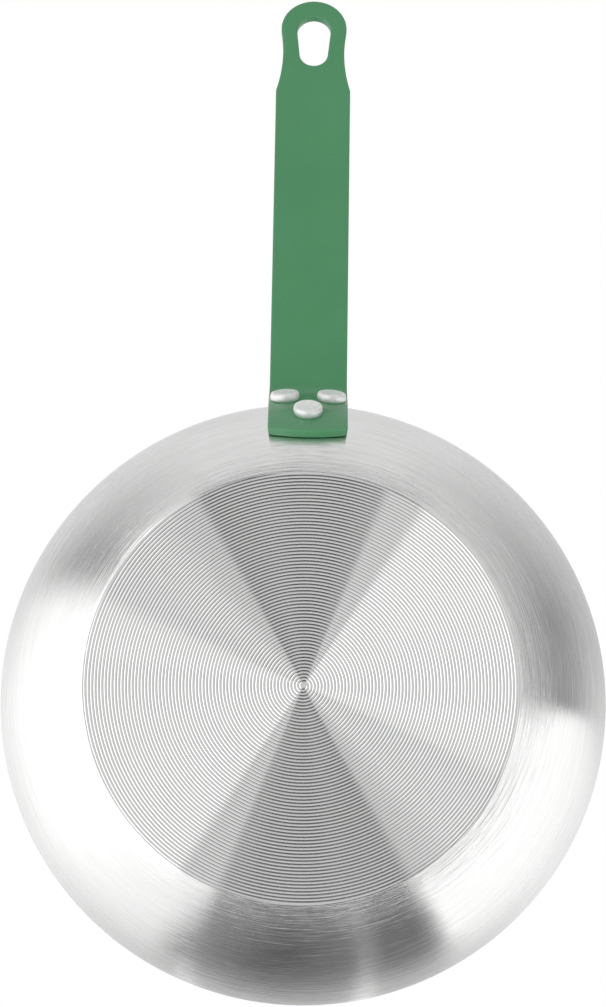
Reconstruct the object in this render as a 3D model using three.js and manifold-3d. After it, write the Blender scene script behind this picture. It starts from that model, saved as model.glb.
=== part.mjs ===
// A frying pan as it stands on a hob: one pressed aluminium pan with a flat base, and a flat
// steel strip handle that is wrapped against the wall and held by three solid rivets.
// Millimetres, +Z up. The origin is the middle of the base's underside. The handle points to +Y.

import * as THREE from 'three';
import { mergeVertices } from 'three/addons/utils/BufferGeometryUtils.js';
import Module from 'manifold-3d';

const wasm = await Module();
wasm.setup();

const radians = THREE.MathUtils.degToRad;

// Pan
const RIM_RADIUS = 120;
const PAN_HEIGHT = 45;
const WALL_FLARE = 36.5;            // level distance from the edge of the flat base out to the rim
const BASE_CORNER_RADIUS = 4;       // outside, where the base turns up into the wall
const INNER_CORNER_RADIUS = 15;     // inside, between the floor and the wall
const WALL_START_SLOPE = radians(25);
const SHEET = 3.5;                  // thickness of base and wall
const LIP_ROUNDING = 1;

// Handle strip. Distances from the rim run down the outside of the wall.
const STRIP_WIDTH = 31;
const STRIP_THICKNESS = 3.5;
const STRIP_EDGE_BREAK = 0.6;
const PLATE_END_FROM_RIM = 42.2;
const PLATE_END_RADIUS = 48;        // of the bowed lower edge
const PLATE_CORNER = 1.5;
const BEND_FROM_RIM = 5.7;
const BEND_RADIUS = 8;              // on the hollow side
const HANDLE_RISE = radians(16.5);
const GRIP_LENGTH = 184.8;          // straight part, from the bend to the tip

// Eye at the tip of the handle
const EYE_STEP = 1.8;               // how much narrower than the strip the eye is, on each side
const NECK_STEP = 0.85;             // how much narrower than the eye the neck is, on each side
const NECK_FROM_TIP = 25.5;
const HOLE_FAR_RADIUS = 7;
const HOLE_FAR_FROM_TIP = 15.2;
const HOLE_NEAR_RADIUS = 5.9;
const HOLE_NEAR_FROM_TIP = 26.3;

// Rivets
const UPPER_RIVETS_FROM_RIM = 14.5;
const UPPER_RIVET_SPACING = 17.8;   // along the outside of the wall
const LOWER_RIVET_FROM_RIM = 29.7;
const SHANK_RADIUS = 3;
const HEAD_RADIUS = 5.75;
const HEAD_HEIGHT = 3.3;
const HEAD_ROUNDING = 1.3;
const INNER_HEAD_RADIUS = 6;
const INNER_HEAD_HEIGHT = 2.2;
const INNER_HEAD_EDGE = 0.6;
const INNER_HEAD_CROWN = 4.8;       // radius at which the low dome turns down to its edge

// Clearances
const SEAT_GAP = 0.3;               // between faces that bear on each other
const SHANK_GAP = 0.3;              // round a shank in its hole
const CUT_OVERRUN = 5;              // how far a cutter reaches past what it cuts

// Fineness of the facets
const PAN_SIDES = 72;
const RIVET_SIDES = 28;
const STRIP_SLICES = 6;

// Outside of the wall: an arc that leaves the base corner at WALL_START_SLOPE and ends at the rim.
// A slope is the angle of the wall above the level, seen along the handle's plane.
const baseRadius = RIM_RADIUS - WALL_FLARE;
const wallFoot = new THREE.Vector2(
  baseRadius + BASE_CORNER_RADIUS * Math.sin(WALL_START_SLOPE),
  BASE_CORNER_RADIUS * (1 - Math.cos(WALL_START_SLOPE)),
);
const wallChord = new THREE.Vector2(RIM_RADIUS, PAN_HEIGHT).sub(wallFoot);
const rimSlope = 2 * wallChord.angle() - WALL_START_SLOPE;
const wallRadius = wallChord.length() / (2 * Math.sin((rimSlope - WALL_START_SLOPE) / 2));
const wallCentre = wallFoot.clone().addScaledVector(outward(WALL_START_SLOPE), -wallRadius);

// Unit vector, in radius and height, that points out of the wall where it has this slope.
function outward(slope) {
  return new THREE.Vector2(Math.sin(slope), -Math.cos(slope));
}

// Points of an arc whose outward direction turns with the slope, from one slope to another.
function slopeArc(centre, radius, fromSlope, toSlope, steps) {
  return Array.from({ length: steps + 1 }, (_, i) => {
    const slope = THREE.MathUtils.lerp(fromSlope, toSlope, i / steps);
    return centre.clone().addScaledVector(outward(slope), radius);
  });
}

function slopeAt(distanceFromRim) {
  return rimSlope - distanceFromRim / wallRadius;
}

// A closed mesh as a solid that can be cut.
function toSolid(geometry) {
  const bare = geometry.clone();
  bare.deleteAttribute('normal');
  bare.deleteAttribute('uv');
  const merged = mergeVertices(bare, 1e-4);
  const corners = merged.index.array;
  const triangles = [];
  for (let i = 0; i < corners.length; i += 3) {
    const [a, b, c] = corners.slice(i, i + 3);
    if (a !== b && b !== c && c !== a) {
      triangles.push(a, b, c);
    }
  }
  return new wasm.Manifold(new wasm.Mesh({
    numProp: 3,
    vertProperties: new Float32Array(merged.attributes.position.array),
    triVerts: new Uint32Array(triangles),
  }));
}

function toGeometry(solid) {
  const mesh = solid.getMesh();
  const geometry = new THREE.BufferGeometry();
  geometry.setAttribute('position', new THREE.BufferAttribute(mesh.vertProperties, 3));
  geometry.setIndex(new THREE.BufferAttribute(mesh.triVerts, 1));
  geometry.computeVertexNormals();
  return geometry;
}

function cut(geometry, cutters) {
  const solid = cutters.reduce((left, cutter) => left.subtract(toSolid(cutter)), toSolid(geometry));
  return toGeometry(solid);
}

function part(name, geometry, colour, roughness, metalness) {
  const material = new THREE.MeshStandardMaterial({ color: colour, roughness, metalness });
  const mesh = new THREE.Mesh(geometry, material);
  mesh.name = name;
  return mesh;
}

// Pan: one turned profile, up the outside, over the lip and down the inside.
function panGeometry() {
  const cornerSteps = 4;
  const wallSteps = 10;
  const lipSteps = 3;
  const cornerCentre = new THREE.Vector2(baseRadius, BASE_CORNER_RADIUS);
  const innerRadius = wallRadius - SHEET;
  const innerRimSlope = Math.acos((wallCentre.y - PAN_HEIGHT) / innerRadius);
  const floorRise = wallCentre.y - SHEET - INNER_CORNER_RADIUS;
  const floorReach = Math.sqrt((innerRadius - INNER_CORNER_RADIUS) ** 2 - floorRise ** 2);
  const innerFootSlope = Math.atan2(floorReach, floorRise);
  const innerCornerCentre = wallCentre.clone().add(new THREE.Vector2(floorReach, -floorRise));
  const outerLip = new THREE.Vector2(RIM_RADIUS, PAN_HEIGHT);
  const innerLip = wallCentre.clone().addScaledVector(outward(innerRimSlope), innerRadius);
  const outerWall = slopeArc(
    wallCentre, wallRadius, WALL_START_SLOPE, rimSlope - LIP_ROUNDING / wallRadius, wallSteps);
  const innerWall = slopeArc(
    wallCentre, innerRadius, innerRimSlope - LIP_ROUNDING / innerRadius, innerFootSlope, wallSteps);
  const step = new THREE.Vector2(LIP_ROUNDING, 0);
  const outerRound = new THREE.QuadraticBezierCurve(
    outerWall.at(-1), outerLip, outerLip.clone().sub(step));
  const innerRound = new THREE.QuadraticBezierCurve(
    innerLip.clone().add(step), innerLip, innerWall[0]);
  return new THREE.LatheGeometry([
    new THREE.Vector2(0, 0),
    ...slopeArc(cornerCentre, BASE_CORNER_RADIUS, 0, WALL_START_SLOPE, cornerSteps).slice(0, -1),
    ...outerWall.slice(0, -1),
    ...outerRound.getPoints(lipSteps),
    ...innerRound.getPoints(lipSteps),
    ...innerWall.slice(1, -1),
    ...slopeArc(innerCornerCentre, INNER_CORNER_RADIUS, innerFootSlope, 0, cornerSteps),
    new THREE.Vector2(0, SHEET),
  ], PAN_SIDES).rotateX(Math.PI / 2);
}

// A place on the strip's centre line, on the face towards the wall: the point, the direction to the
// other face, and how sharply the strip is bowed about the pan, which is 0 where it is flat.
function stripPlace(point, slope, bow) {
  const facing = outward(slope);
  return {
    point: new THREE.Vector3(0, point.x, point.y),
    facing: new THREE.Vector3(0, facing.x, facing.y),
    bow,
  };
}

function placeOnWall(distanceFromRim) {
  const slope = slopeAt(distanceFromRim);
  const point = wallCentre.clone().addScaledVector(outward(slope), wallRadius + SEAT_GAP);
  return stripPlace(point, slope, Math.sin(slope) / point.x);
}

const bendSlope = slopeAt(BEND_FROM_RIM);
const bendOuterRadius = BEND_RADIUS + STRIP_THICKNESS;
const bendCentre = wallCentre.clone()
  .addScaledVector(outward(bendSlope), wallRadius + SEAT_GAP + bendOuterRadius);

function placeInBend(slope) {
  const point = bendCentre.clone().addScaledVector(outward(slope), -bendOuterRadius);
  const bow = placeOnWall(BEND_FROM_RIM).bow;
  return stripPlace(point, slope, bow * (slope - HANDLE_RISE) / (bendSlope - HANDLE_RISE));
}

function placeOnGrip(distanceFromTip) {
  const along = new THREE.Vector2(Math.cos(HANDLE_RISE), Math.sin(HANDLE_RISE));
  const start = bendCentre.clone().addScaledVector(outward(HANDLE_RISE), -bendOuterRadius);
  return stripPlace(start.addScaledVector(along, GRIP_LENGTH - distanceFromTip), HANDLE_RISE, 0);
}

const halfWidth = STRIP_WIDTH / 2;
const eyeRadius = halfWidth - EYE_STEP;

// The strip's half width at places from its lower end, up the wall, round the bend and to the tip.
function stripStations() {
  const endSteps = 7;
  const wallSteps = 8;
  const bendSteps = 8;
  const neckSteps = 10;
  const eyeSteps = 12;
  const leastTurn = 0.08;
  const stations = [];
  const add = (place, half) => stations.push({ place, half });

  const endTurn = Math.asin((halfWidth - PLATE_CORNER) / PLATE_END_RADIUS);
  for (let i = 0; i <= endSteps; i += 1) {
    const turn = endTurn * THREE.MathUtils.lerp(leastTurn, 1, i / endSteps);
    const rise = PLATE_END_RADIUS * (1 - Math.cos(turn));
    add(placeOnWall(PLATE_END_FROM_RIM - rise), PLATE_END_RADIUS * Math.sin(turn));
  }
  const cornerTop = PLATE_END_FROM_RIM - PLATE_END_RADIUS * (1 - Math.cos(endTurn)) - PLATE_CORNER;
  for (let i = 0; i < wallSteps; i += 1) {
    add(placeOnWall(THREE.MathUtils.lerp(cornerTop, BEND_FROM_RIM, i / wallSteps)), halfWidth);
  }
  for (let i = 0; i <= bendSteps; i += 1) {
    add(placeInBend(THREE.MathUtils.lerp(bendSlope, HANDLE_RISE, i / bendSteps)), halfWidth);
  }

  // The neck is one hollow arc, tangent to the eye's circle and ending at the strip's full width.
  const neckHalf = eyeRadius - NECK_STEP;
  const neckFromEye = NECK_FROM_TIP - eyeRadius;
  const neckRadius = (neckFromEye ** 2 + neckHalf ** 2 - eyeRadius ** 2) / (2 * NECK_STEP);
  const shoulder = Math.acos(1 - (halfWidth - neckHalf) / neckRadius);
  const tangent = Math.atan2(neckFromEye, neckHalf + neckRadius);
  for (let i = 0; i <= neckSteps; i += 1) {
    const turn = THREE.MathUtils.lerp(shoulder, -tangent, i / neckSteps);
    const fromTip = NECK_FROM_TIP + neckRadius * Math.sin(turn);
    add(placeOnGrip(fromTip), neckHalf + neckRadius * (1 - Math.cos(turn)));
  }
  for (let i = 1; i <= eyeSteps; i += 1) {
    const turn = THREE.MathUtils.lerp(Math.PI / 2 - tangent, Math.PI - leastTurn, i / eyeSteps);
    add(placeOnGrip(eyeRadius * (1 + Math.cos(turn))), eyeRadius * Math.sin(turn));
  }
  return stations;
}

// Section of the strip, as distances across it and up from the face towards the wall.
function stripSection(half) {
  const edge = Math.min(STRIP_EDGE_BREAK, half / 2);
  const across = (i) => THREE.MathUtils.lerp(edge - half, half - edge, i / STRIP_SLICES);
  const slices = Array.from({ length: STRIP_SLICES + 1 }, (_, i) => across(i));
  return [
    ...slices.map((x) => new THREE.Vector2(x, 0)),
    new THREE.Vector2(half, edge),
    new THREE.Vector2(half, STRIP_THICKNESS - edge),
    ...slices.toReversed().map((x) => new THREE.Vector2(x, STRIP_THICKNESS)),
    new THREE.Vector2(-half, STRIP_THICKNESS - edge),
    new THREE.Vector2(-half, edge),
  ];
}

// Carries a section point to its place, bent round the pan by the bow there.
function onStrip({ point, facing, bow }, { x, y }) {
  const turn = bow * x;
  const side = bow > 0 ? (1 / bow + y) * Math.sin(turn) : x;
  const lift = bow > 0 ? (1 / bow + y) * Math.cos(turn) - 1 / bow : y;
  return point.clone().addScaledVector(facing, lift).setX(side);
}

function stripGeometry() {
  const stations = stripStations();
  const sections = stations.map(({ half }) => stripSection(half));
  const ring = sections[0].length;
  const points = stations.flatMap(({ place }, i) => sections[i].map((p) => onStrip(place, p)));
  const triangles = [];
  for (let i = 0; i < stations.length - 1; i += 1) {
    for (let j = 0; j < ring; j += 1) {
      const a = i * ring + j;
      const b = i * ring + (j + 1) % ring;
      triangles.push(a, b, a + ring, b, b + ring, a + ring);
    }
  }
  const lastRing = (stations.length - 1) * ring;
  for (const [a, b, c] of THREE.ShapeUtils.triangulateShape(sections[0], [])) {
    triangles.push(a, c, b);
  }
  for (const [a, b, c] of THREE.ShapeUtils.triangulateShape(sections.at(-1), [])) {
    triangles.push(lastRing + a, lastRing + b, lastRing + c);
  }
  return new THREE.BufferGeometry().setFromPoints(points).setIndex(triangles);
}

// The hanging hole: a large round end towards the tip and a smaller one, joined by straight sides.
function hangingHoleCutter() {
  const lean = Math.asin((HOLE_FAR_RADIUS - HOLE_NEAR_RADIUS) / (HOLE_NEAR_FROM_TIP - HOLE_FAR_FROM_TIP));
  const outline = new THREE.Shape();
  outline.absarc(0, -HOLE_FAR_FROM_TIP, HOLE_FAR_RADIUS, -lean, Math.PI + lean, false);
  outline.absarc(0, -HOLE_NEAR_FROM_TIP, HOLE_NEAR_RADIUS, Math.PI + lean, 2 * Math.PI - lean, false);
  const depth = STRIP_THICKNESS + 2 * CUT_OVERRUN;
  const cutter = new THREE.ExtrudeGeometry(outline, { depth, bevelEnabled: false, curveSegments: 12 });
  const tip = placeOnGrip(0).point;
  const below = CUT_OVERRUN + STRIP_THICKNESS;
  return cutter.translate(0, 0, -below).rotateX(HANDLE_RISE).translate(tip.x, tip.y, tip.z);
}

// Where each rivet crosses the outside of the wall.
const halfTurn = UPPER_RIVET_SPACING / 2
  / (wallCentre.x + wallRadius * Math.sin(slopeAt(UPPER_RIVETS_FROM_RIM)));
const rivets = [
  { name: 'upper_rivet_left', fromRim: UPPER_RIVETS_FROM_RIM, turn: halfTurn },
  { name: 'upper_rivet_right', fromRim: UPPER_RIVETS_FROM_RIM, turn: -halfTurn },
  { name: 'lower_rivet', fromRim: LOWER_RIVET_FROM_RIM, turn: 0 },
];

// Moves a shape made round the Y axis, with Y pointing out of the wall, to a rivet's place.
function atRivet(object, { fromRim, turn }) {
  const slope = slopeAt(fromRim);
  const facing = outward(slope);
  const point = wallCentre.clone().addScaledVector(facing, wallRadius);
  object.position.set(0, point.x, point.y);
  object.rotation.set(slope - Math.PI / 2, 0, 0);
  const swing = new THREE.Group();
  swing.rotation.z = turn;
  swing.add(object);
  return swing;
}

// Heights along a rivet, from the outside of the wall outwards.
const headSeat = SEAT_GAP + STRIP_THICKNESS + SEAT_GAP;
const innerHeadSag = INNER_HEAD_RADIUS ** 2 / (2 * (wallRadius - SHEET));
const innerHeadSeat = -(SHEET + innerHeadSag + SEAT_GAP);

function rivetHoleCutter(rivet) {
  const length = headSeat - innerHeadSeat + 2 * CUT_OVERRUN;
  const middle = (headSeat + innerHeadSeat) / 2;
  const hole = new THREE.CylinderGeometry(
    SHANK_RADIUS + SHANK_GAP, SHANK_RADIUS + SHANK_GAP, length, RIVET_SIDES);
  const mesh = new THREE.Mesh(hole.translate(0, middle, 0));
  atRivet(mesh, rivet).updateMatrixWorld(true);
  return hole.applyMatrix4(mesh.matrixWorld);
}

// Rivet: a low domed head inside the pan, a shank, and a flat-topped round-edged head outside.
function rivetGeometry() {
  const roundSteps = 4;
  const domeSteps = 5;
  const innerEdge = innerHeadSeat - INNER_HEAD_EDGE;
  const dome = new THREE.QuadraticBezierCurve(
    new THREE.Vector2(0, innerHeadSeat - INNER_HEAD_HEIGHT),
    new THREE.Vector2(INNER_HEAD_CROWN, innerHeadSeat - INNER_HEAD_HEIGHT),
    new THREE.Vector2(INNER_HEAD_RADIUS, innerEdge),
  );
  const top = headSeat + HEAD_HEIGHT;
  const round = new THREE.QuadraticBezierCurve(
    new THREE.Vector2(HEAD_RADIUS, top - HEAD_ROUNDING),
    new THREE.Vector2(HEAD_RADIUS, top),
    new THREE.Vector2(HEAD_RADIUS - HEAD_ROUNDING, top),
  );
  return new THREE.LatheGeometry([
    ...dome.getPoints(domeSteps),
    new THREE.Vector2(INNER_HEAD_RADIUS, innerHeadSeat),
    new THREE.Vector2(SHANK_RADIUS, innerHeadSeat),
    new THREE.Vector2(SHANK_RADIUS, headSeat),
    new THREE.Vector2(HEAD_RADIUS, headSeat),
    ...round.getPoints(roundSteps),
    new THREE.Vector2(0, top),
  ], RIVET_SIDES);
}

const pan = new THREE.Group();
const rivetHoles = rivets.map(rivetHoleCutter);
pan.add(part('pan_body', cut(panGeometry(), rivetHoles), '#d9d9d6', 0.32, 1));
pan.add(part('handle', cut(stripGeometry(), [...rivetHoles, hangingHoleCutter()]), '#468c5c', 0.45, 0));
for (const rivet of rivets) {
  pan.add(atRivet(part(rivet.name, rivetGeometry(), '#e2e1de', 0.35, 1), rivet));
}

export default pan;
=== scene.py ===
"""Looks of a frying pan: turned aluminium with a spiral-grooved base, non-stick inside, a coated steel
strip handle and three rivets, seen from below as it lies in the photograph. Metres, +Z up."""

import math

import bpy
import numpy as np
from mathutils import Matrix, Vector
from mathutils.geometry import delaunay_2d_cdt


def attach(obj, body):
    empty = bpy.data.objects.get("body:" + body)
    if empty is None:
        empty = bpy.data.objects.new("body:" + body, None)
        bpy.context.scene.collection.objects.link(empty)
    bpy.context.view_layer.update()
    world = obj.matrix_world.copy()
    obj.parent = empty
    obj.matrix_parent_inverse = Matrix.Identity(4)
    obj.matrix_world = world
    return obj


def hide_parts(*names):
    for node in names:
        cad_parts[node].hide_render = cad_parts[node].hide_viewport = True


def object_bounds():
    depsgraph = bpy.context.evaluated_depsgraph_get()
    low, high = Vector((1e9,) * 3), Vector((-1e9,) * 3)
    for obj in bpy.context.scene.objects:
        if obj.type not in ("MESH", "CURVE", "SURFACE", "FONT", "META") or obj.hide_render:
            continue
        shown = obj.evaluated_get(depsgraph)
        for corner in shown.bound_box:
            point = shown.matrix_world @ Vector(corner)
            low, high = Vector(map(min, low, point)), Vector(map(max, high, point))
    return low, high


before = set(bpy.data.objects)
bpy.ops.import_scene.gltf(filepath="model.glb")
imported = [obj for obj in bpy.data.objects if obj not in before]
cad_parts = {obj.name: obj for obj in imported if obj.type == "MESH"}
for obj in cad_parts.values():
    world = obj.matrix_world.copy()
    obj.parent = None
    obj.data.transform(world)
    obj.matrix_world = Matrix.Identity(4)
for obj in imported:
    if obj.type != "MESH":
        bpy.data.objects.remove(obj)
CAD_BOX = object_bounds()

MM = 0.001

# Pan, as in the solids
RIM_RADIUS = 120 * MM
PAN_HEIGHT = 45 * MM
WALL_FLARE = 36.5 * MM
BASE_CORNER_RADIUS = 4 * MM
INNER_CORNER_RADIUS = 15 * MM
WALL_START_SLOPE = math.radians(25)
SHEET = 3.5 * MM
LIP_ROUNDING = 1 * MM

# Handle strip, as in the solids
STRIP_WIDTH = 31 * MM
STRIP_THICKNESS = 3.5 * MM
PLATE_END_FROM_RIM = 42.2 * MM
PLATE_END_RADIUS = 48 * MM
PLATE_CORNER = 2 * MM
BEND_FROM_RIM = 5.7 * MM
BEND_RADIUS = 8 * MM
HANDLE_RISE = math.radians(16.5)
GRIP_LENGTH = 184.8 * MM
EYE_STEP = 1.8 * MM
NECK_STEP = 0.85 * MM
NECK_FROM_TIP = 25.5 * MM
HOLE_FAR_RADIUS = 7 * MM
HOLE_FAR_FROM_TIP = 15.2 * MM
HOLE_NEAR_RADIUS = 5.9 * MM
HOLE_NEAR_FROM_TIP = 26.3 * MM
SEAT_GAP = 0.3 * MM

# Rivets, as in the solids
UPPER_RIVETS_FROM_RIM = 14.5 * MM
UPPER_RIVET_SPACING = 17.8 * MM
LOWER_RIVET_FROM_RIM = 29.7 * MM
SHANK_RADIUS = 3 * MM
HEAD_RADIUS = 5.75 * MM
HEAD_HEIGHT = 3.3 * MM
INNER_HEAD_RADIUS = 6 * MM
INNER_HEAD_HEIGHT = 2.2 * MM

# Fine shapes that only the looks have
GROOVE_PITCH = 1.3 * MM
GROOVE_DEPTH = 0.112 * MM
LAND_SHARE = 0.5  # of the pitch, left flat between grooves
GROOVE_FADE = 0.4 * MM  # the last stretch, where a groove runs out at the base's edge
FACED_CORNER_RADIUS = 1 * MM  # facing leaves the base's edge sharper than pressing does
FACING_OFFSET = 1.15 * MM  # the base was faced slightly askew, so its edge is off centre
FACING_OFFSET_TURN = math.radians(165)
FACING_OFFSET_GONE = 98 * MM  # radius on the wall from which the pan is true again
STRIP_EDGE_ROUNDING = 0.75 * MM
SEATED_EDGE_ROUNDING = 0.25 * MM  # on the face that lies on the wall
BEDDING = 0.05 * MM  # how far a rivet head's underside sinks into the face that it lies on
INNER_HEAD_EDGE = 0.5 * MM  # straight side below the inner head's dome
HEAD_FOOT_HEIGHT = 0.7 * MM  # the outer head draws in below this height
HEAD_FOOT_INSET = 0.35 * MM
HEAD_FOOT_INSET_MIDWAY = 0.1 * MM
HEAD_SWELL = 0.06 * MM
HEAD_ROUNDING = 1.25 * MM
HEAD_DISH = 0.3 * MM

# Fineness of the meshes
PAN_SIDES = 192
SPARE_TURNS = 2  # turns of the spiral past the base's edge, for its corner
BENT_GRID_STEP = 1.2 * MM  # between the points that bend the strip
BENT_GRID_COLUMNS = 19
BENT_GRID_MARGIN = 4 * MM
RIVET_SIDES = 72

# Heights of the marks in the surfaces
BRUSH_MARKS = 0.25 * MM
PEBBLE = 0.03 * MM
ORANGE_PEEL = 0.02 * MM
DINTS = 0.12 * MM

# The photograph's camera
PHOTO_WIDTH = 606
PHOTO_HEIGHT = 1007
FOCAL_LENGTH_PIXELS = 4038.8
SENSOR_MM = 36
CAMERA_PLACE = Vector((1.364, -211.644, -1542.874)) * MM
CAMERA_TILT = math.radians(10.395)
CAMERA_ROLL = math.radians(-0.947)


def outward(slope):
    """Unit vector, in radius and height, out of the wall where it has this slope above the level."""
    return np.array([np.sin(slope), -np.cos(slope)])


def slope_arc(centre, radius, from_slope, to_slope, steps):
    return [centre + radius * outward(s) for s in np.linspace(from_slope, to_slope, steps + 1)]


base_radius = RIM_RADIUS - WALL_FLARE
corner_centre = np.array([base_radius, BASE_CORNER_RADIUS])
wall_foot = corner_centre + BASE_CORNER_RADIUS * outward(WALL_START_SLOPE)
wall_chord = np.array([RIM_RADIUS, PAN_HEIGHT]) - wall_foot
rim_slope = 2 * math.atan2(wall_chord[1], wall_chord[0]) - WALL_START_SLOPE
wall_radius = np.hypot(*wall_chord) / (2 * math.sin((rim_slope - WALL_START_SLOPE) / 2))
wall_centre = wall_foot - wall_radius * outward(WALL_START_SLOPE)
faced_reach = wall_radius - FACED_CORNER_RADIUS
faced_edge = wall_centre[0] + math.sqrt(faced_reach ** 2 - (wall_centre[1] - FACED_CORNER_RADIUS) ** 2)
faced_foot = faced_edge + FACED_CORNER_RADIUS * (faced_edge - wall_centre[0]) / faced_reach


def slope_at(distance_from_rim):
    return rim_slope - distance_from_rim / wall_radius


def bezier(a, b, c, steps):
    t = np.linspace(0, 1, steps + 1)[:, None]
    return list((1 - t) ** 2 * a + 2 * t * (1 - t) * b + t ** 2 * c)


def add_mesh(name, points, faces, materials, slots=None):
    mesh = bpy.data.meshes.new(name)
    mesh.from_pydata([tuple(p) for p in points], [], faces)
    for material in materials:
        mesh.materials.append(material)
    mesh.shade_smooth()
    if slots is not None:
        mesh.polygons.foreach_set("material_index", slots)
    mesh.update()
    piece = bpy.data.objects.new(name, mesh)
    bpy.context.scene.collection.objects.link(piece)
    return piece


# Pan


def base_edge(turn):
    """Radius of the edge of the faced base, at an angle round it."""
    return faced_edge + FACING_OFFSET * np.cos(turn - FACING_OFFSET_TURN)


def underside(radius, turn):
    """Height of the plain underside: flat, then the corner, then the wall."""
    fading = FACING_OFFSET_GONE - faced_edge - 2 * FACING_OFFSET
    left = np.clip((FACING_OFFSET_GONE - radius) / fading, 0, 1)
    true_radius = radius - (base_edge(turn) - faced_edge) * left
    past = np.clip(true_radius - faced_edge, 0, faced_foot - faced_edge)
    corner = FACED_CORNER_RADIUS - np.sqrt(FACED_CORNER_RADIUS ** 2 - past ** 2)
    across = np.clip(true_radius - wall_centre[0], 0, wall_radius)
    wall = wall_centre[1] - np.sqrt(wall_radius ** 2 - across ** 2)
    return np.where(true_radius < faced_foot, corner, wall)


def polar(radius, turn, height):
    """Points seen from below: the turn runs clockwise from the photograph's right-hand side."""
    return np.stack([-radius * np.cos(turn), -radius * np.sin(turn), height], axis=-1)


def spiral_rows():
    """The grooved base as rows that follow the spiral, each starting where an earlier one ends. Past the
    base's edge the grooves are gone, and the next rows are gathered on its corner."""
    phases = np.array([0, LAND_SHARE, (1 + LAND_SHARE) / 2])
    depths = np.array([0, 0, GROOVE_DEPTH])
    rows_per_turn = len(phases)
    turns = math.ceil((faced_edge + FACING_OFFSET) / GROOVE_PITCH) + SPARE_TURNS
    last = rows_per_turn * turns
    row = np.arange(last + rows_per_turn + 1)
    start = GROOVE_PITCH * (row // rows_per_turn + phases[row % rows_per_turn])
    row_depth = depths[row % rows_per_turn]
    reach = (SPARE_TURNS + 1) * GROOVE_PITCH

    def place(rows, column):
        turn = 2 * math.pi * column / PAN_SIDES
        radius = start[rows] + GROOVE_PITCH * column / PAN_SIDES
        past = radius - base_edge(turn)
        left = np.clip(-past / GROOVE_FADE, 0, 1)
        fade = left * left * (3 - 2 * left)
        gathered = np.interp(past, (0, GROOVE_PITCH, reach), (0, faced_foot - faced_edge, reach))
        in_reach = (past > 0) & (past < reach)
        radius = np.where(in_reach, radius - past + gathered, radius)
        return polar(radius, turn, underside(radius, turn) + row_depth[rows] * fade)

    grid_rows, columns = np.meshgrid(row[: last + 1], np.arange(PAN_SIDES), indexing="ij")
    grid = place(grid_rows.ravel(), columns.ravel())
    seam = place(row[last + 1:], np.zeros(rows_per_turn))
    return np.concatenate([grid, seam]), last, rows_per_turn


def pan_profile(start_radius):
    """The turned profile past the grooves: (outside up to the lip's top, inside down to the base)."""
    inner_radius = wall_radius - SHEET
    inner_rim_slope = math.acos((wall_centre[1] - PAN_HEIGHT) / inner_radius)
    floor_rise = wall_centre[1] - SHEET - INNER_CORNER_RADIUS
    floor_reach = math.sqrt((inner_radius - INNER_CORNER_RADIUS) ** 2 - floor_rise ** 2)
    inner_foot_slope = math.atan2(floor_reach, floor_rise)
    inner_corner_centre = wall_centre + np.array([floor_reach, -floor_rise])
    outer_lip = np.array([RIM_RADIUS, PAN_HEIGHT])
    inner_lip = wall_centre + inner_radius * outward(inner_rim_slope)
    first_slope = math.asin((start_radius - wall_centre[0]) / wall_radius)
    outer = slope_arc(wall_centre, wall_radius, first_slope, rim_slope - LIP_ROUNDING / wall_radius, 44)
    inner = slope_arc(
        wall_centre, inner_radius, inner_rim_slope - LIP_ROUNDING / inner_radius, inner_foot_slope, 36)
    step = np.array([LIP_ROUNDING, 0])
    outer_round = bezier(outer[-1], outer_lip, outer_lip - step, 6)
    inner_round = bezier(inner_lip + step, inner_lip, inner[0], 6)
    inner_corner = slope_arc(inner_corner_centre, INNER_CORNER_RADIUS, inner_foot_slope, 0, 12)
    floor_radius = inner_corner_centre[0]
    inner_floor = [np.array([floor_radius * share, SHEET]) for share in np.linspace(0.9, 0.1, 9)]
    outside = outer + outer_round[1:]
    inside = inner_round + inner[1:] + inner_corner[1:] + inner_floor
    return outside, inside


def make_pan(aluminium, coating):
    points, last, rows = spiral_rows()
    sides = PAN_SIDES

    def at(row, column):
        if column == sides:
            return at(row + rows, 0)
        return row * sides + column if row <= last else (last + 1) * sides + row - last - 1

    faces = []
    for column in range(1, sides - 1):
        faces.append((at(0, 0), at(0, column), at(0, column + 1)))
    faces.append([at(0, 0), at(0, sides - 1)] + [at(k, 0) for k in range(rows, 0, -1)])
    for row in range(last):
        for column in range(sides):
            faces.append((at(row, column), at(row + 1, column),
                          at(row + 1, column + 1), at(row, column + 1)))

    spiral_end = GROOVE_PITCH * (last // rows + 1)
    outside, inside = pan_profile(spiral_end + GROOVE_PITCH / 2)
    rings = outside + inside
    first = len(points)
    turn = 2 * math.pi * np.arange(sides) / sides
    for index, (radius, height) in enumerate(rings):
        askew = index < len(outside) and radius < FACING_OFFSET_GONE
        heights = underside(radius, turn) if askew else np.full(sides, height)
        points = np.concatenate([points, polar(radius, turn, heights)])
    middle = len(points)
    points = np.concatenate([points, [[0, 0, SHEET]]])

    def ring(index, column):
        return first + index * sides + column % sides

    seam = [at(last + k, 0) for k in range(1, rows + 1)]
    faces.append([at(last, 0)] + seam + [ring(0, 0), ring(0, 1), at(last, 1)])
    for column in range(1, sides):
        faces.append((at(last, column), ring(0, column), ring(0, column + 1), at(last, column + 1)))
    slots = [0] * len(faces)
    for index in range(len(rings) - 1):
        for column in range(sides):
            faces.append((ring(index, column), ring(index + 1, column),
                          ring(index + 1, column + 1), ring(index, column + 1)))
        slots += [0 if index < len(outside) else 1] * sides
    for column in range(sides):
        faces.append((ring(len(rings) - 1, column), middle, ring(len(rings) - 1, column + 1)))
    slots += [1] * sides

    facing_out = [face[::-1] for face in faces]
    piece = add_mesh("pan", points, facing_out, [aluminium, coating], slots)
    crease_spiral(piece.data, last, rows)
    return piece


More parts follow.
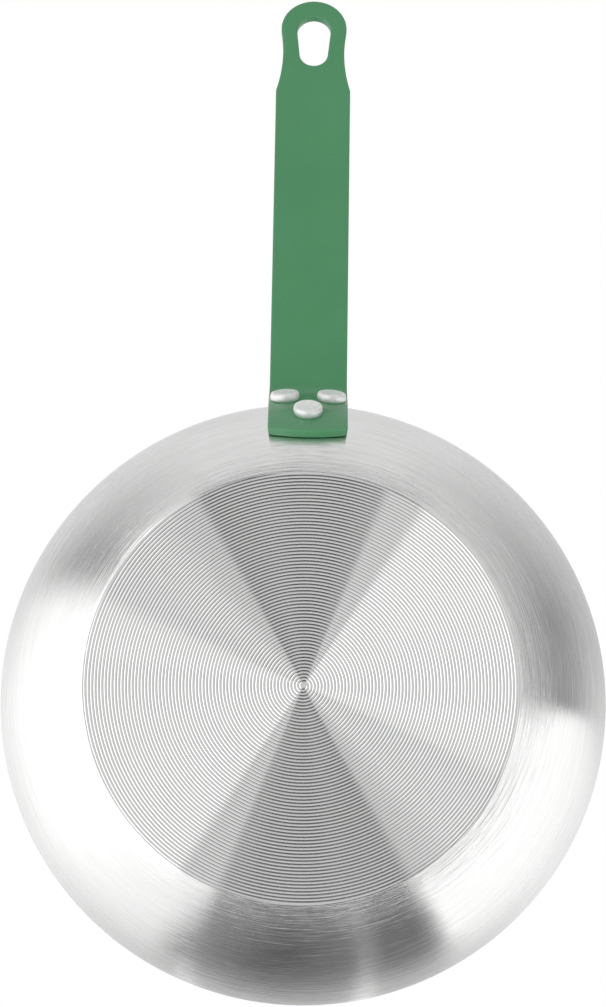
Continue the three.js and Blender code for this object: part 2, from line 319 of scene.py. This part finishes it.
def crease_spiral(mesh, last, rows):
    """Creases the rows along the spiral up to the base's edge, so that lands and groove sides shade flat."""
    ends = np.empty(2 * len(mesh.edges), dtype=np.int32)
    mesh.edges.foreach_get("vertices", ends)
    a, b = ends.reshape(-1, 2).T
    grid = (last + 1) * PAN_SIDES
    row_a, row_b = a // PAN_SIDES, b // PAN_SIDES
    in_grid = (a < grid) & (b < grid)
    along = in_grid & (row_a == row_b)
    wraps = in_grid & (np.abs(row_a - row_b) == rows)
    places = np.empty(3 * len(mesh.vertices))
    mesh.vertices.foreach_get("co", places)
    x, y, _ = places.reshape(-1, 3)[a].T
    grooved = np.hypot(x, y) < base_edge(np.arctan2(-y, -x))
    crease = mesh.attributes.new("sharp_edge", "BOOLEAN", "EDGE")
    crease.data.foreach_set("value", (along | wraps) & grooved)


# Handle


def strip_place(point, slope, bow):
    facing = outward(slope)
    return Vector((0, *point)), Vector((0, *facing)), bow


def bow_at(distance_from_rim):
    slope = slope_at(distance_from_rim)
    return math.sin(slope) / (wall_centre + (wall_radius + SEAT_GAP) * outward(slope))[0]


bend_slope = slope_at(BEND_FROM_RIM)
bend_outer_radius = BEND_RADIUS + STRIP_THICKNESS
bend_centre = wall_centre + (wall_radius + SEAT_GAP + bend_outer_radius) * outward(bend_slope)
plate_length = PLATE_END_FROM_RIM - BEND_FROM_RIM
bend_length = bend_outer_radius * (bend_slope - HANDLE_RISE)
strip_length = plate_length + bend_length + GRIP_LENGTH


def place_along(distance):
    """Place on the face towards the wall, at a distance from the plate's lower end."""
    if distance < plate_length:
        from_rim = PLATE_END_FROM_RIM - distance
        slope = slope_at(from_rim)
        point = wall_centre + (wall_radius + SEAT_GAP) * outward(slope)
        return strip_place(point, slope, bow_at(from_rim))
    if distance < plate_length + bend_length:
        share = (distance - plate_length) / bend_length
        slope = bend_slope + (HANDLE_RISE - bend_slope) * share
        point = bend_centre - bend_outer_radius * outward(slope)
        return strip_place(point, slope, bow_at(BEND_FROM_RIM) * (1 - share))
    start = bend_centre - bend_outer_radius * outward(HANDLE_RISE)
    along = np.array([math.cos(HANDLE_RISE), math.sin(HANDLE_RISE)])
    return strip_place(start + (distance - plate_length - bend_length) * along, HANDLE_RISE, 0)


def on_strip(across, distance, lift):
    """Carries a point of the flat strip to its place on the bent one."""
    point, facing, bow = place_along(distance)
    if bow < 1e-6:
        return point + facing * lift + Vector((across, 0, 0))
    reach = 1 / bow + lift
    side = Vector((reach * math.sin(bow * across), 0, 0))
    return point + facing * (reach * math.cos(bow * across) - 1 / bow) + side


def arc(centre, radius, start, stop, steps):
    turn = np.linspace(start, stop, steps + 1)
    return np.stack([centre[0] + radius * np.cos(turn), centre[1] + radius * np.sin(turn)], axis=1)


def strip_outline():
    """Right-hand edge of the flat strip, from the middle of its lower end to the tip, then mirrored."""
    half = STRIP_WIDTH / 2
    eye = half - EYE_STEP
    neck_half = eye - NECK_STEP
    neck_from_eye = NECK_FROM_TIP - eye
    neck = (neck_from_eye ** 2 + neck_half ** 2 - eye ** 2) / (2 * NECK_STEP)
    shoulder = math.acos(1 - (half - neck_half) / neck)
    tangent = math.atan2(neck_from_eye, neck_half + neck)
    tip = strip_length

    corner_side = half - PLATE_CORNER
    bowl = PLATE_END_RADIUS - PLATE_CORNER
    corner_rise = PLATE_END_RADIUS - math.sqrt(bowl ** 2 - corner_side ** 2)
    end_turn = math.asin(corner_side / bowl)
    lower = arc((0, PLATE_END_RADIUS), PLATE_END_RADIUS, -math.pi / 2, end_turn - math.pi / 2, 24)
    corner = arc((corner_side, corner_rise), PLATE_CORNER, end_turn - math.pi / 2, 0, 8)
    plate = np.arange(corner_rise + MM, plate_length + bend_length + 2 * MM, MM)
    grip_end = tip - NECK_FROM_TIP - neck * math.sin(shoulder)
    grip = np.linspace(plate[-1], grip_end, 16)[1:-1]
    side = np.array([(half, s) for s in np.concatenate([plate, grip])])
    neck_centre = (neck_half + neck, tip - NECK_FROM_TIP)
    hollow = arc(neck_centre, neck, math.pi + shoulder, math.pi - tangent, 28)
    round_end = arc((0, tip - eye), eye, -tangent, math.pi / 2, 36)
    right = np.concatenate([lower, corner[1:], side, hollow, round_end[1:]])
    left = right[1:-1][::-1] * (-1, 1)
    return np.concatenate([right, left])


def hole_outline():
    tip = strip_length
    gap = HOLE_NEAR_FROM_TIP - HOLE_FAR_FROM_TIP
    lean = math.asin((HOLE_FAR_RADIUS - HOLE_NEAR_RADIUS) / gap)
    far = arc((0, tip - HOLE_FAR_FROM_TIP), HOLE_FAR_RADIUS, -lean, math.pi + lean, 40)
    near = arc((0, tip - HOLE_NEAR_FROM_TIP), HOLE_NEAR_RADIUS, math.pi + lean, 2 * math.pi - lean, 32)
    return np.concatenate([far, near])[::-1]


def inset(loop, distance):
    """Moves a loop into the metal, which lies to the left of its run."""
    run = np.roll(loop, -1, axis=0) - np.roll(loop, 1, axis=0)
    run /= np.linalg.norm(run, axis=1)[:, None]
    return loop + distance * np.stack([-run[:, 1], run[:, 0]], axis=1)


def make_handle(material):
    rounding = STRIP_EDGE_ROUNDING
    loops = [strip_outline(), hole_outline()]
    rims = [inset(loop, rounding) for loop in loops]
    hole = rims[1]
    half = STRIP_WIDTH / 2 - 2 * rounding
    bent_end = plate_length + bend_length + BENT_GRID_MARGIN
    inside = [(x, s) for s in np.arange(BENT_GRID_MARGIN, bent_end, BENT_GRID_STEP)
              for x in np.linspace(-half, half, BENT_GRID_COLUMNS)]
    flat = [tuple(p) for rim in rims for p in rim] + inside
    edges, first = [], 0
    for rim in rims:
        edges += [(first + k, first + (k + 1) % len(rim)) for k in range(len(rim))]
        first += len(rim)
    scale = 1 / MM
    sheet, _, triangles, _, _, _ = delaunay_2d_cdt(
        [Vector(p) * scale for p in flat], edges, [], 1, 1e-6)
    sheet = [Vector(p) / scale for p in sheet]
    middle = hole.mean(axis=0)
    reach = np.abs(hole[:, 1] - middle[1]).max()

    def in_hole(triangle):
        c = sum((sheet[k] for k in triangle), Vector((0, 0))) / 3
        if abs(c.y - middle[1]) > reach:
            return False
        crossings = 0
        for p, q in zip(hole, np.roll(hole, -1, axis=0)):
            if (p[1] > c.y) != (q[1] > c.y):
                crossings += c.x < p[0] + (c.y - p[1]) * (q[0] - p[0]) / (q[1] - p[1])
        return crossings % 2 == 1

    kept = [t for t in triangles if not in_hole(t)]
    outer = [on_strip(p.x, p.y, STRIP_THICKNESS) for p in sheet]
    inner = [on_strip(p.x, p.y, 0) for p in sheet]
    points = outer + inner
    faces = [tuple(t) for t in kept]
    faces += [tuple(k + len(sheet) for k in reversed(t)) for t in kept]

    steps = 4
    first = 0
    for loop in loops:
        count = len(loop)
        turns = np.linspace(0, math.pi / 2, steps + 1)
        rows = [list(range(first, first + count))]
        for t in turns[1:]:
            drop = rounding * (1 - math.cos(t))
            rows.append(list(range(len(points), len(points) + count)))
            edge = inset(loop, rounding * (1 - math.sin(t)))
            points += [on_strip(x, s, STRIP_THICKNESS - drop) for x, s in edge]
        for t in turns[::-1]:
            drop = SEATED_EDGE_ROUNDING * (1 - math.cos(t))
            rows.append(list(range(len(points), len(points) + count)))
            edge = inset(loop, SEATED_EDGE_ROUNDING * (1 - math.sin(t)))
            points += [on_strip(x, s, drop) for x, s in edge]
        rows.append(list(range(len(sheet) + first, len(sheet) + first + count)))
        for upper, lower in zip(rows, rows[1:]):
            for k in range(count):
                n = (k + 1) % count
                faces.append((upper[k], lower[k], lower[n], upper[n]))
        first += count
    facing_out = [face[::-1] for face in faces]
    piece = add_mesh("strip_handle", points, facing_out, [material])
    piece.modifiers.new("even_shading", "WEIGHTED_NORMAL").keep_sharp = True
    return piece


# Rivets


def rivet_frame(from_rim, turn):
    """Matrix that puts local Z out of the wall and local Y up it, at a rivet's place."""
    slope = slope_at(from_rim)
    out = outward(slope)
    point = wall_centre + wall_radius * out
    up = Vector((0, -out[1], out[0]))
    z = Vector((0, out[0], out[1]))
    frame_axes = Matrix((up.cross(z), up, z)).transposed().to_4x4()
    frame_axes.translation = Vector((0, point[0], point[1]))
    return Matrix.Rotation(turn, 4, "Z") @ frame_axes


def rivet_rows():
    """Rows of a rivet from the middle of its inner head to the middle of its outer one: radius, height,
    and whether the row follows the curved face that it lies on."""
    plate_top = SEAT_GAP + STRIP_THICKNESS
    top = plate_top + HEAD_HEIGHT
    dome = INNER_HEAD_HEIGHT - INNER_HEAD_EDGE
    rows = [(0.0, -SHEET - INNER_HEAD_HEIGHT, False)]
    for t in np.linspace(0.08, 1, 12):
        radius = INNER_HEAD_RADIUS * math.sin(t * math.pi / 2) ** 0.9
        height = -SHEET - INNER_HEAD_EDGE - dome * math.cos(t * math.pi / 2) ** 0.8
        rows.append((radius, height, False))
    rows.append((INNER_HEAD_RADIUS, -SHEET + BEDDING, True))
    rows.append((SHANK_RADIUS, -SHEET + BEDDING, True))
    rows.append((SHANK_RADIUS, plate_top - BEDDING, True))
    rows.append((HEAD_RADIUS - HEAD_FOOT_INSET, plate_top - BEDDING, True))
    rows.append((HEAD_RADIUS - HEAD_FOOT_INSET_MIDWAY, plate_top + HEAD_FOOT_HEIGHT / 2, False))
    side_low = plate_top + HEAD_FOOT_HEIGHT
    side_top = top - HEAD_ROUNDING
    for t in np.linspace(0, 1, 5):
        radius = HEAD_RADIUS + HEAD_SWELL * math.sin(t * math.pi)
        rows.append((radius, side_low + t * (side_top - side_low), False))
    for t in np.linspace(0.15, 1, 8):
        angle = t * math.pi / 2
        radius = HEAD_RADIUS - HEAD_ROUNDING * (1 - math.cos(angle))
        rows.append((radius, side_top + HEAD_ROUNDING * math.sin(angle), False))
    for t in np.linspace(0.85, 0.1, 6):
        radius = (HEAD_RADIUS - HEAD_ROUNDING) * t
        rows.append((radius, top - HEAD_DISH * (1 - t ** 2), False))
    rows.append((0.0, top - HEAD_DISH, False))
    return rows


def make_rivet(name, from_rim, turn, material):
    bow = bow_at(from_rim)
    rows = rivet_rows()
    sides = RIVET_SIDES
    turns = 2 * math.pi * np.arange(sides) / sides
    points, faces = [], []
    for radius, height, bedded in rows[1:-1]:
        for a in turns:
            x, y = radius * math.cos(a), radius * math.sin(a)
            drop = bow * x * x / 2 + y * y / (2 * wall_radius) if bedded else 0
            points.append((x, y, height - drop))
    count = len(rows) - 2
    for k in range(count - 1):
        for j in range(sides):
            n = (j + 1) % sides
            faces.append((k * sides + j, k * sides + n, (k + 1) * sides + n, (k + 1) * sides + j))
    low, high = len(points), len(points) + 1
    points += [(0, 0, rows[0][1]), (0, 0, rows[-1][1])]
    for j in range(sides):
        n = (j + 1) % sides
        faces.append((low, n, j))
        faces.append((high, (count - 1) * sides + j, (count - 1) * sides + n))
    matrix = rivet_frame(from_rim, turn)
    return add_mesh(name, [matrix @ Vector(p) for p in points], faces, [material])


# Materials


class Nodes:
    """Short forms for building a node tree."""

    def __init__(self, tree):
        self.tree = tree
        tree.nodes.clear()

    def add(self, kind, settings=None, **inputs):
        node = self.tree.nodes.new(kind)
        for key, value in (settings or {}).items():
            setattr(node, key, value)
        for key, value in inputs.items():
            self.feed(node.inputs[key.replace("_", " ")], value)
        return node

    def feed(self, socket, value):
        if isinstance(value, bpy.types.NodeSocket):
            self.tree.links.new(value, socket)
        else:
            socket.default_value = value

    def math(self, operation, a, b=None):
        node = self.add("ShaderNodeMath", {"operation": operation})
        self.feed(node.inputs[0], a)
        if b is not None:
            self.feed(node.inputs[1], b)
        return node.outputs[0]

    def span(self, value, low, high, to_low=0.0, to_high=1.0, smooth=False):
        kind = "SMOOTHSTEP" if smooth else "LINEAR"
        node = self.add("ShaderNodeMapRange", {"interpolation_type": kind})
        for socket, source in zip(node.inputs, (value, low, high, to_low, to_high)):
            self.feed(socket, source)
        return node.outputs[0]

    def mix(self, share, a, b):
        node = self.add("ShaderNodeMix", {"data_type": "RGBA"})
        self.feed(node.inputs["Factor"], share)
        self.feed(node.inputs["A"], a)
        self.feed(node.inputs["B"], b)
        return node.outputs["Result"]

    def noise(self, vector, scale, detail, roughness):
        node = self.add("ShaderNodeTexNoise", Vector=vector, Scale=scale, Detail=detail, Roughness=roughness)
        return node.outputs["Fac"]

    def vector(self, x, y, z):
        return self.add("ShaderNodeCombineXYZ", X=x, Y=y, Z=z).outputs[0]

    def bump(self, height, distance, strength):
        return self.add("ShaderNodeBump", Height=height, Distance=distance, Strength=strength).outputs[0]


def new_material(name):
    material = bpy.data.materials.new(name)
    material.use_nodes = True
    nodes = Nodes(material.node_tree)
    place = nodes.add("ShaderNodeTexCoord").outputs["Object"]
    shader = nodes.add("ShaderNodeBsdfPrincipled")
    output = nodes.add("ShaderNodeOutputMaterial")
    nodes.feed(output.inputs["Surface"], shader.outputs[0])
    return material, nodes, place, shader


def grey(value):
    return (value, value, value, 1.0)


def turned_aluminium():
    """Bare aluminium, turned and brushed round the axis: every mark is a fine ring."""
    material, nodes, place, shader = new_material("turned_aluminium")
    x, y, z = nodes.add("ShaderNodeSeparateXYZ", Vector=place).outputs
    squares = nodes.math("ADD", nodes.math("MULTIPLY", x, x), nodes.math("MULTIPLY", y, y))
    radius = nodes.math("SQRT", squares)
    along = nodes.math("ADD", radius, z)
    off_axis = nodes.math("MAXIMUM", radius, 2 * MM)
    round_x = nodes.math("DIVIDE", x, off_axis)
    round_y = nodes.math("DIVIDE", y, off_axis)

    def rings(per_metre, around):
        return nodes.vector(
            nodes.math("MULTIPLY", along, per_metre),
            nodes.math("MULTIPLY", round_x, around),
            nodes.math("MULTIPLY", round_y, around))

    fine = nodes.noise(rings(1500.0, 4.0), 1.0, 2.0, 0.6)
    broad = nodes.noise(rings(700.0, 1.5), 1.0, 2.0, 0.6)
    smudge = nodes.noise(place, 22.0, 3.0, 0.5)
    on_wall = nodes.span(radius, base_radius - 1 * MM, base_radius + 3 * MM)
    tone = nodes.math("ADD", nodes.math("MULTIPLY", fine, 0.65), nodes.math("MULTIPLY", broad, 0.35))
    strength = nodes.span(on_wall, 0, 1, 0.1, 1.0)
    depth = nodes.math("MULTIPLY", nodes.span(tone, 0.35, 0.65, -1.0, 1.0), strength)
    nodes.feed(shader.inputs["Base Color"], nodes.mix(
        nodes.span(depth, -1.0, 1.0), (0.845, 0.845, 0.84, 1), (0.885, 0.885, 0.88, 1)))
    finish = nodes.span(on_wall, 0, 1, 0.11, 0.16)
    smudges = nodes.span(smudge, 0.35, 0.75, -0.01, 0.02)
    marks = nodes.math("ADD", nodes.math("MULTIPLY", depth, -0.04), smudges)
    nodes.feed(shader.inputs["Roughness"], nodes.math("ADD", finish, marks))
    nodes.feed(shader.inputs["Normal"], nodes.bump(nodes.math("MULTIPLY", tone, on_wall), BRUSH_MARKS, 0.9))
    shader.inputs["Metallic"].default_value = 1.0
    shader.inputs["Anisotropic"].default_value = 1.0
    shader.inputs["Anisotropic Rotation"].default_value = 0.25
    tangent = nodes.add("ShaderNodeTangent", {"direction_type": "RADIAL", "axis": "Z"})
    nodes.feed(shader.inputs["Tangent"], tangent.outputs[0])
    return material


def non_stick():
    """Sprayed dark coating with a fine pebble and faint paler flecks."""
    material, nodes, place, shader = new_material("non_stick")
    pebble = nodes.noise(place, 1400.0, 3.0, 0.6)
    cloud = nodes.noise(place, 18.0, 4.0, 0.55)
    flecks = nodes.add("ShaderNodeTexVoronoi", Vector=place, Scale=420.0)
    fleck = nodes.span(flecks.outputs["Distance"], 0.10, 0.16, 1.0, 0.0)
    body = nodes.mix(nodes.span(cloud, 0.35, 0.65), (0.020, 0.020, 0.021, 1), (0.028, 0.028, 0.029, 1))
    nodes.feed(shader.inputs["Base Color"], nodes.mix(
        nodes.math("MULTIPLY", fleck, 0.35), body, (0.12, 0.12, 0.122, 1)))
    nodes.feed(shader.inputs["Roughness"], nodes.span(cloud, 0.3, 0.7, 0.36, 0.44))
    nodes.feed(shader.inputs["Normal"], nodes.bump(pebble, PEBBLE, 0.5))
    shader.inputs["IOR"].default_value = 1.42
    return material


def green_coating():
    """Baked satin coating with a slight orange peel."""
    material, nodes, place, shader = new_material("green_coating")
    peel = nodes.noise(place, 520.0, 2.0, 0.5)
    cloud = nodes.noise(place, 30.0, 3.0, 0.5)
    speck = nodes.noise(place, 2600.0, 2.0, 0.5)
    tone = nodes.math("ADD", nodes.math("MULTIPLY", cloud, 0.6), nodes.math("MULTIPLY", speck, 0.4))
    nodes.feed(shader.inputs["Base Color"], nodes.mix(
        nodes.span(tone, 0.3, 0.7), (0.064, 0.226, 0.101, 1), (0.074, 0.247, 0.114, 1)))
    nodes.feed(shader.inputs["Roughness"], nodes.span(cloud, 0.3, 0.7, 0.24, 0.30))
    nodes.feed(shader.inputs["Normal"], nodes.bump(peel, ORANGE_PEEL, 0.4))
    shader.inputs["IOR"].default_value = 1.48
    return material


def rivet_aluminium():
    """Pressed aluminium: bright, faintly mottled and dinted by the rivet set."""
    material, nodes, place, shader = new_material("rivet_aluminium")
    mottle = nodes.noise(place, 700.0, 3.0, 0.6)
    dints = nodes.noise(place, 260.0, 2.0, 0.5)
    nodes.feed(shader.inputs["Base Color"], nodes.mix(
        nodes.span(mottle, 0.3, 0.7), (0.86, 0.86, 0.855, 1), (0.95, 0.95, 0.945, 1)))
    nodes.feed(shader.inputs["Roughness"], nodes.span(mottle, 0.3, 0.7, 0.48, 0.58))
    nodes.feed(shader.inputs["Normal"], nodes.bump(dints, DINTS, 0.4))
    shader.inputs["Metallic"].default_value = 0.85
    return material


# Stage


# Light of the studio by direction: degrees clockwise round the axis, as seen from below, and level.
# Three belts: what the grooves mirror, what the middle of the wall mirrors, and what the rim mirrors.
GROOVE_BELT = (
    (0, 0.47), (6, 0.46), (8, 0.60), (16, 0.58), (22, 0.50), (25, 0.16), (48, 0.16), (54, 0.12),
    (59, 0.12), (61, 0.03), (80, 0.05), (86, 0.0), (102, 0.0), (109, 0.16), (110.5, 0.16), (112.5, 0.92),
    (121, 0.98), (124, 1.75), (194, 1.7), (202, 1.45), (206, 1.43), (224, 1.43), (231, 1.12), (239, 0.82),
    (241.5, 0.15), (258, 0.24), (266, 0.16), (287, 0.20), (301, 0.18), (305, 0.54), (345, 0.55),
)
WALL_BELT = (
    (3, 0.30), (6, 1.18), (58, 1.18), (61, 0.36), (64, 0.17), (72, 0.16), (75, 0.28), (77.5, 0.27), (79, 0.19),
    (92, 0.10), (110, 0.28), (113.5, 0.80), (118, 1.0), (126, 1.05), (150, 1.3), (185, 1.3), (202, 1.14),
    (208, 0.47), (213, 0.33), (246, 0.80), (290, 0.78), (343, 0.28),
)
RIM_BELT = (
    (4, 0.81), (12, 0.98), (35, 0.96), (57, 0.66), (75, 0.61), (76, 1.2), (78, 1.2), (79, 0.61), (90, 0.56),
    (111, 0.66), (112, 1.1), (114, 1.1), (115, 0.64), (122, 0.66), (150, 0.96), (180, 1.04), (204, 0.84),
    (296, 0.81), (332, 0.65), (345, 0.66),
)
BELOW = (0.61, 0.69)  # straight below, on the side away from the handle and on the handle's
BELOW_STEP = 0.06
FOOT_RING = (1.45, 0.80)  # light ring that the wall's foot mirrors, where it is brightest and dimmest
FOOT_RING_REACH = 0.9
FOOT_RING_DIM_TURN = math.radians(240)
FOOT_RING_WALL_SHARE = 0.3  # of the wall's belt in the ring
GROOVE_LEAN = math.radians(2.7)  # most by which the boxes seen in the grooves lean towards the handle
WALL_LEAN = math.radians(8.5)  # the same for the wall
LEFT_BOX_TURN = math.radians(159)
LEFT_BOX_NEAR = (0.2, 0.6)  # cosines of the turn from the box, from untouched to narrowed in full
LEFT_BOX_NARROWING = math.radians(8)
MIRRORED_CAMERA = math.atan2(-CAMERA_PLACE.y, -CAMERA_PLACE.z)  # from straight below to the handle's side

# Degrees over which each light passes into the next. The first three count from the direction in which the
# level base mirrors the camera, the others from straight below.
GROOVES_FROM = (13, 25)
FOOT_RING_FROM = (43, 47)
WALL_FROM = (51, 59)
LEFT_BOX_NARROWS_FROM = (70, 106)
RIM_FROM = (94, 138)
BACKDROP_FROM = (152, 166)

FLOOR_HALF_SIZE = 6.0
FLOOR_GAP = 0.2 * MM
FLOOR_FADE = (0.5, 2.0)  # distances from the pan between which the floor turns white


def make_world():
    """A white studio. The camera sees it white, and metal mirrors that backdrop behind the pan as well as
    the soft boxes and grey gaps beside and below it."""
    world = bpy.data.worlds.new("studio")
    bpy.context.scene.world = world
    world.use_nodes = True
    nodes = Nodes(world.node_tree)
    away = nodes.add("ShaderNodeTexCoord").outputs["Generated"]
    rotation = nodes.add(
        "ShaderNodeVectorRotate", {"rotation_type": "X_AXIS"}, Vector=away, Angle=-MIRRORED_CAMERA)
    from_mirror = rotation.outputs[0]

    def turn_and_fall(direction):
        x, y, z = nodes.add("ShaderNodeSeparateXYZ", Vector=direction).outputs
        turn = nodes.math("ARCTAN2", nodes.math("MULTIPLY", y, -1.0), nodes.math("MULTIPLY", x, -1.0))
        return turn, nodes.math("ARCCOSINE", nodes.math("MULTIPLY", z, -1.0))

    def leant(turn, most):
        return nodes.math("ADD", turn, nodes.math("MULTIPLY", nodes.math("COSINE", turn), most))

    def belt(stops, turn):
        share = nodes.math("FRACT", nodes.math("ADD", nodes.math("DIVIDE", turn, 2 * math.pi), 1.0))
        ramp = nodes.add("ShaderNodeValToRGB", Fac=share)
        stops = stops + ((360, stops[0][1]),)
        elements = ramp.color_ramp.elements
        while len(elements) < len(stops):
            elements.new(0.5)
        for element, (degrees, level) in zip(elements, stops):
            element.position = degrees / 360
            element.color = grey(level)
        return ramp.outputs["Color"]

    def above(fall, limits):
        low, high = limits
        return nodes.span(fall, math.radians(low), math.radians(high), smooth=True)

    low_turn, low_fall = turn_and_fall(from_mirror)
    turn, fall = turn_and_fall(away)
    low_turn = leant(low_turn, GROOVE_LEAN)
    turn = leant(turn, WALL_LEAN)
    towards_handle = nodes.add("ShaderNodeSeparateXYZ", Vector=from_mirror).outputs["Y"]
    below = nodes.span(towards_handle, -BELOW_STEP, BELOW_STEP, *BELOW)
    studio = nodes.mix(above(low_fall, GROOVES_FROM), below, belt(GROOVE_BELT, low_turn))
    off_box = nodes.math("SUBTRACT", turn, LEFT_BOX_TURN)
    near_box = nodes.span(nodes.math("COSINE", off_box), *LEFT_BOX_NEAR, smooth=True)
    narrows = nodes.math("MULTIPLY", near_box, above(fall, LEFT_BOX_NARROWS_FROM))
    narrowing = nodes.math("MULTIPLY", narrows, LEFT_BOX_NARROWING)
    narrowed = nodes.math("MULTIPLY", nodes.math("SINE", off_box), narrowing)
    walls = belt(WALL_BELT, nodes.math("ADD", turn, narrowed))
    off_dim = nodes.math("SUBTRACT", low_turn, FOOT_RING_DIM_TURN)
    ring = nodes.span(nodes.math("COSINE", off_dim), -FOOT_RING_REACH, FOOT_RING_REACH, *FOOT_RING)
    foot = nodes.mix(FOOT_RING_WALL_SHARE, ring, walls)
    studio = nodes.mix(above(low_fall, FOOT_RING_FROM), studio, foot)
    studio = nodes.mix(above(low_fall, WALL_FROM), studio, walls)
    # Tilted as far the other way as low_fall is, so that the rim's light starts later away from the handle
    rim_fall = nodes.math("SUBTRACT", nodes.math("MULTIPLY", fall, 2.0), low_fall)
    studio = nodes.mix(above(rim_fall, RIM_FROM), studio, belt(RIM_BELT, turn))
    studio = nodes.mix(above(fall, BACKDROP_FROM), studio, grey(1.0))
    path = nodes.add("ShaderNodeLightPath")
    seen = nodes.math("MAXIMUM", path.outputs["Is Camera Ray"], path.outputs["Is Transmission Ray"])
    background = nodes.add("ShaderNodeBackground", Color=nodes.mix(seen, studio, grey(1.0)))
    output = nodes.add("ShaderNodeOutputWorld")
    nodes.feed(output.inputs["Surface"], background.outputs[0])


def make_floor():
    """Pale floor under the pan, seen from above only and fading to white far off."""
    size = FLOOR_HALF_SIZE
    corners = [(-size, -size), (size, -size), (size, size), (-size, size)]
    height = CAD_BOX[0].z - FLOOR_GAP
    material = bpy.data.materials.new("floor")
    material.use_nodes = True
    nodes = Nodes(material.node_tree)
    geometry = nodes.add("ShaderNodeNewGeometry")
    distance = nodes.add("ShaderNodeVectorMath", {"operation": "LENGTH"})
    nodes.feed(distance.inputs[0], geometry.outputs["Position"])
    pale = nodes.add("ShaderNodeBsdfDiffuse", Color=grey(0.9))
    white = nodes.add("ShaderNodeEmission", Color=grey(1.0))
    clear = nodes.add("ShaderNodeBsdfTransparent")
    fade = nodes.span(distance.outputs["Value"], *FLOOR_FADE, smooth=True)
    far = nodes.add("ShaderNodeMixShader", Fac=fade)
    nodes.feed(far.inputs[1], pale.outputs[0])
    nodes.feed(far.inputs[2], white.outputs[0])
    sided = nodes.add("ShaderNodeMixShader", Fac=geometry.outputs["Backfacing"])
    nodes.feed(sided.inputs[1], far.outputs[0])
    nodes.feed(sided.inputs[2], clear.outputs[0])
    output = nodes.add("ShaderNodeOutputMaterial")
    nodes.feed(output.inputs["Surface"], sided.outputs[0])
    floor = add_mesh("floor", [(x, y, height) for x, y in corners], [(0, 1, 2, 3)], [material])
    for ray in ("diffuse", "glossy", "transmission", "volume_scatter", "shadow"):
        setattr(floor, "visible_" + ray, False)


def make_lamp(name, place, size, energy):
    """A large soft lamp aimed at the pan, which matt surfaces show and metal doesn't mirror."""
    light = bpy.data.lights.new(name, "AREA")
    light.size = size
    light.energy = energy
    lamp = bpy.data.objects.new(name, light)
    lamp.location = place
    lamp.rotation_euler = (-lamp.location).to_track_quat("-Z", "Y").to_euler()
    lamp.visible_camera = False
    lamp.visible_glossy = False
    bpy.context.scene.collection.objects.link(lamp)


def make_camera():
    data = bpy.data.cameras.new("photo_camera")
    data.sensor_width = SENSOR_MM
    data.lens = FOCAL_LENGTH_PIXELS * SENSOR_MM / max(PHOTO_WIDTH, PHOTO_HEIGHT)
    camera = bpy.data.objects.new("photo_camera", data)
    ahead = Vector((0, math.sin(CAMERA_TILT), math.cos(CAMERA_TILT)))
    level_right = Vector((-1, 0, 0))
    level_up = Vector((0, math.cos(CAMERA_TILT), -math.sin(CAMERA_TILT)))
    right = level_right * math.cos(CAMERA_ROLL) - level_up * math.sin(CAMERA_ROLL)
    up = level_right * math.sin(CAMERA_ROLL) + level_up * math.cos(CAMERA_ROLL)
    axes = Matrix((right, up, -ahead)).transposed().to_4x4()
    camera.matrix_world = Matrix.Translation(CAMERA_PLACE) @ axes
    bpy.context.scene.collection.objects.link(camera)
    bpy.context.scene.camera = camera


def add_piece(piece, node):
    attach(piece, "root")
    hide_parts(node)


make_camera()
make_world()
make_floor()
make_lamp("lamp_above", place=(-0.9, -0.7, 1.5), size=1.2, energy=9.0)
make_lamp("lamp_below", place=(-0.3, 0.1, -1.6), size=1.5, energy=9.0)
make_lamp("lamp_front", place=(0.0, -1.5, -0.9), size=1.2, energy=11.0)
bpy.context.scene.view_settings.view_transform = "Standard"

add_piece(make_pan(turned_aluminium(), non_stick()), "pan_body")
add_piece(make_handle(green_coating()), "handle")
upper_radius = (wall_centre + wall_radius * outward(slope_at(UPPER_RIVETS_FROM_RIM)))[0]
half_turn = UPPER_RIVET_SPACING / 2 / upper_radius
rivet_metal = rivet_aluminium()
for node, from_rim, turn in (
    ("upper_rivet_left", UPPER_RIVETS_FROM_RIM, half_turn),
    ("upper_rivet_right", UPPER_RIVETS_FROM_RIM, -half_turn),
    ("lower_rivet", LOWER_RIVET_FROM_RIM, 0.0),
):
    add_piece(make_rivet(node + "_set", from_rim, turn, rivet_metal), node)
